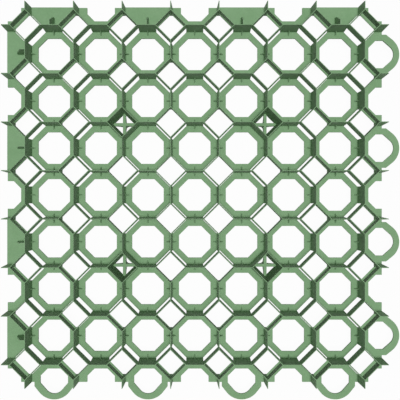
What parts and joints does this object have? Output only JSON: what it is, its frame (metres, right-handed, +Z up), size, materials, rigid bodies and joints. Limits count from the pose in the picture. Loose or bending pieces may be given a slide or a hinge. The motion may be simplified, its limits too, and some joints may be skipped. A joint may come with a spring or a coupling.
{
  "type": "grass paver grid",
  "caption": "Square moulded plastic ground grid of octagonal and diamond cells on a pierced flange, with edge loops, lugs and ground spikes, laid under grass or gravel to carry traffic.",
  "frame": {"origin": "middle of the grid of cells, on the flange's underside, which lies on the bedding", "axes": "+Z up out of the ground, +X and -Y towards the two edges with loops, -X and +Y towards the two edges with plates and lugs"},
  "size_m": [0.5223, 0.5223, 0.061],
  "materials": {
    "polypropylene": "moulded grey-green polypropylene, matte"
  },
  "bodies": {
    "root": {"paver_grid": "polypropylene"}
  },
  "joints": []
}
